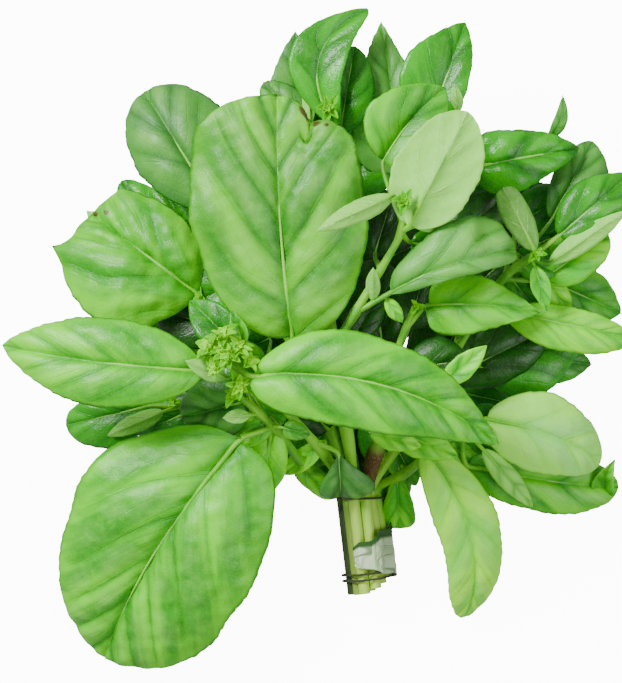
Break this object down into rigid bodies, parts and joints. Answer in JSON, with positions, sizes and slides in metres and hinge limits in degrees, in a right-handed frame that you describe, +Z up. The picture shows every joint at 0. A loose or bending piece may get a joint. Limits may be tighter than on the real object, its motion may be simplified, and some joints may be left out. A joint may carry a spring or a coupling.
{
  "type": "basil bunch",
  "caption": "Fresh sweet basil bunch lying flat: leafy sprigs fanned out from a short tied stump of cut stems wrapped in a pale leaf strip.",
  "frame": {"origin": "on the table, on the flat underside of the neck thread", "axes": "+Y from the neck thread out along the sprigs, +X to the right seen from above, +Z up from the table"},
  "size_m": [0.2577, 0.2651, 0.0933],
  "materials": {
    "leaf": "satin",
    "thread": "matt",
    "strip": "satin"
  },
  "bodies": {
    "root": {"sprig_front_head": "leaf", "sprig_front_lower": "leaf", "sprig_centre_tall": "leaf", "sprig_centre_right": "leaf", "sprig_top": "leaf", "sprig_right_head": "leaf", "sprig_lower_right": "leaf", "sprig_top_right": "leaf", "sprig_right_low": "leaf", "sprig_upper_left": "leaf", "sprig_left_back": "leaf", "sprig_left_low": "leaf", "neck_thread": "thread", "lower_thread": "thread", "pale_strip": "strip"}
  },
  "joints": []
}
